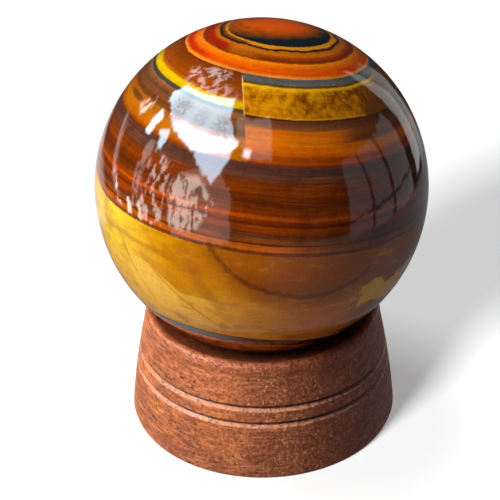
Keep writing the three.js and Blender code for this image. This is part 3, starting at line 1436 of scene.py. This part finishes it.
@dataclass
class Studio:
    """The pale floor, the soft light and the camera.

    Angles are degrees, powers watts. The floor glows a little near the stand, and fully from pale_to
    millimetres away, so that it runs into the white behind it.
    """

    aim: Vector
    camera_distance: float = 164.6 * MM
    camera_elevation: float = 24.2
    camera_pitch: float = 28.2
    camera_yaw: float = -0.75
    camera_roll: float = -0.56
    lens: float = 64.8
    sensor_width: float = 36.0
    backdrop: float = 1.05
    soft_above: float = 0.03
    soft_below: float = 0.34
    floor_reach: float = 5.0
    pale_from: float = 260.0
    pale_to: float = 800.0
    floor_pale: float = 0.4
    floor_glow: float = 0.34
    panels: tuple[Panel, ...] = (
        Panel("key_light", -112.0, 38.0, 2.0, 1.1, 78.0, (1.0, 0.97, 0.92)),
        Panel("back_light", 20.0, 40.0, 2.0, 1.1, 14.0, (0.95, 0.98, 1.0)),
        Panel("floor_light", -138.0, 21.0, 4.0, 1.1, 640.0, WHITE, Lit.FLOOR),
        Panel("top_light", -60.0, 70.0, 2.0, 0.9, 32.0, WHITE, Lit.FLOOR),
    )

    def build_camera(self) -> None:
        """Places the camera and makes it the scene's."""
        elevation = math.radians(self.camera_elevation)
        pitch, yaw, roll = (math.radians(a) for a in (self.camera_pitch, self.camera_yaw, self.camera_roll))
        ahead = Vector((0.0, math.cos(pitch), -math.sin(pitch)))
        right = Vector((1.0, 0.0, 0.0))
        up = right.cross(ahead)
        ahead, right = (
            ahead * math.cos(yaw) + right * math.sin(yaw),
            right * math.cos(yaw) - ahead * math.sin(yaw),
        )
        right, up = (
            right * math.cos(roll) + up * math.sin(roll),
            up * math.cos(roll) - right * math.sin(roll),
        )
        data = bpy.data.cameras.new("camera")
        data.lens = self.lens
        data.sensor_width = self.sensor_width
        data.clip_start = 1.0 * MM
        camera = bpy.data.objects.new("camera", data)
        bpy.context.scene.collection.objects.link(camera)
        back = Vector((0.0, -math.cos(elevation), math.sin(elevation))) * self.camera_distance
        turned = Matrix((right, up, -ahead)).transposed().to_4x4()
        camera.matrix_world = Matrix.Translation(self.aim + back) @ turned
        bpy.context.scene.camera = camera

    def build_floor(self) -> bpy.types.Object:
        """Lays the pale floor.

        Returns:
            The floor.
        """
        reach = self.floor_reach
        signs = ((-1.0, -1.0), (1.0, -1.0), (1.0, 1.0), (-1.0, 1.0))
        corners = np.array([(x * reach, y * reach, 0.0) for x, y in signs])
        floor = add_mesh("pale_floor", corners, [[0, 1, 2, 3]], smooth=False)
        material, bench = new_material("pale_floor")
        place = bench.position_mm((0.0, 0.0, 0.0))
        east, north = bench.along(place, (1.0, 0.0, 0.0)), bench.along(place, (0.0, 1.0, 0.0))
        far = ((east * east + north * north) ** 0.5).rise(self.pale_from, self.pale_to)
        near_glow = (self.floor_glow, self.floor_glow, self.floor_glow, 1.0)
        shader = bench.place(
            "ShaderNodeBsdfPrincipled",
            None,
            {
                "Base Color": (self.floor_pale, self.floor_pale, self.floor_pale, 1.0),
                "Roughness": 1.0,
                "Specular IOR Level": 0.0,
                "Emission Color": bench.blend(far, near_glow, (1.0, 1.0, 1.0, 1.0)),
                "Emission Strength": 1.0,
            },
        )
        bench.place("ShaderNodeOutputMaterial", None, {"Surface": shader.outputs[0]})
        floor.data.materials.append(material)
        floor.visible_diffuse = False
        floor.visible_glossy = False
        return floor

    def build_panel(self, panel: Panel, lit: bpy.types.Collection) -> None:
        """Hangs one light panel.

        Args:
            panel: What the panel is and where it hangs.
            lit: The things it lights.
        """
        azimuth, elevation = math.radians(panel.azimuth), math.radians(panel.elevation)
        away = Vector((
            math.sin(azimuth) * math.cos(elevation),
            math.cos(azimuth) * math.cos(elevation),
            math.sin(elevation),
        ))
        data = bpy.data.lights.new(panel.name, "AREA")
        data.shape = "SQUARE"
        data.size = panel.width
        data.energy = panel.power
        data.color = panel.colour
        light = bpy.data.objects.new(panel.name, data)
        bpy.context.scene.collection.objects.link(light)
        facing = away.to_track_quat("Z", "Y").to_matrix().to_4x4()
        light.matrix_world = Matrix.Translation(self.aim + away * panel.distance) @ facing
        light.visible_glossy = False
        light.light_linking.receiver_collection = lit

    def build_air(self) -> None:
        """Gives the surroundings a low even light in front of a white background."""
        world = bpy.data.worlds.new("studio_air")
        bpy.context.scene.world = world
        world.use_nodes = True
        bench = Bench(world.node_tree)
        looked_at = Wire(bench, bench.place("ShaderNodeLightPath").outputs["Is Camera Ray"])
        outward = bench.place("ShaderNodeTexCoord").outputs["Generated"]
        below = bench.along(outward, (0.0, 0.0, 1.0)).fall(-0.1, 0.1)
        soft = below * (self.soft_below - self.soft_above) + self.soft_above
        glow = looked_at * self.backdrop + (1.0 - looked_at) * soft
        shine = bench.place("ShaderNodeBackground", None, {"Color": (1.0, 1.0, 1.0, 1.0), "Strength": glow})
        bench.place("ShaderNodeOutputWorld", None, {"Surface": shine.outputs[0]})

    def build(self, pieces: Sequence[bpy.types.Object]) -> None:
        """Builds the whole studio round the finished pieces.

        Args:
            pieces: The stone and the stand.
        """
        self.build_camera()
        floor = self.build_floor()
        self.build_air()
        Surroundings(self.aim).build()
        shone_on: dict[Lit, bpy.types.Collection] = {}
        for lit, things in ((Lit.FLOOR, [floor]), (Lit.PIECES, pieces)):
            shone_on[lit] = bpy.data.collections.new(lit.value)
            for thing in things:
                shone_on[lit].objects.link(thing)
        for panel in self.panels:
            self.build_panel(panel, shone_on[panel.lit])
        bpy.context.scene.view_settings.view_transform = "Standard"


def main() -> None:
    """Builds and dresses each piece, then the studio."""
    stone = StoneSphere()
    pieces: list[bpy.types.Object] = []
    for maker in (stone, TurnedStand()):
        piece = maker.build()
        maker.dress()
        pieces.append(piece)
        log.info("%s: %d faces", piece.name, len(piece.data.polygons))
    Studio(stone.centre).build(pieces)


if __name__ == "__main__":
    logging.basicConfig(level=logging.INFO, format="%(message)s")
    main()
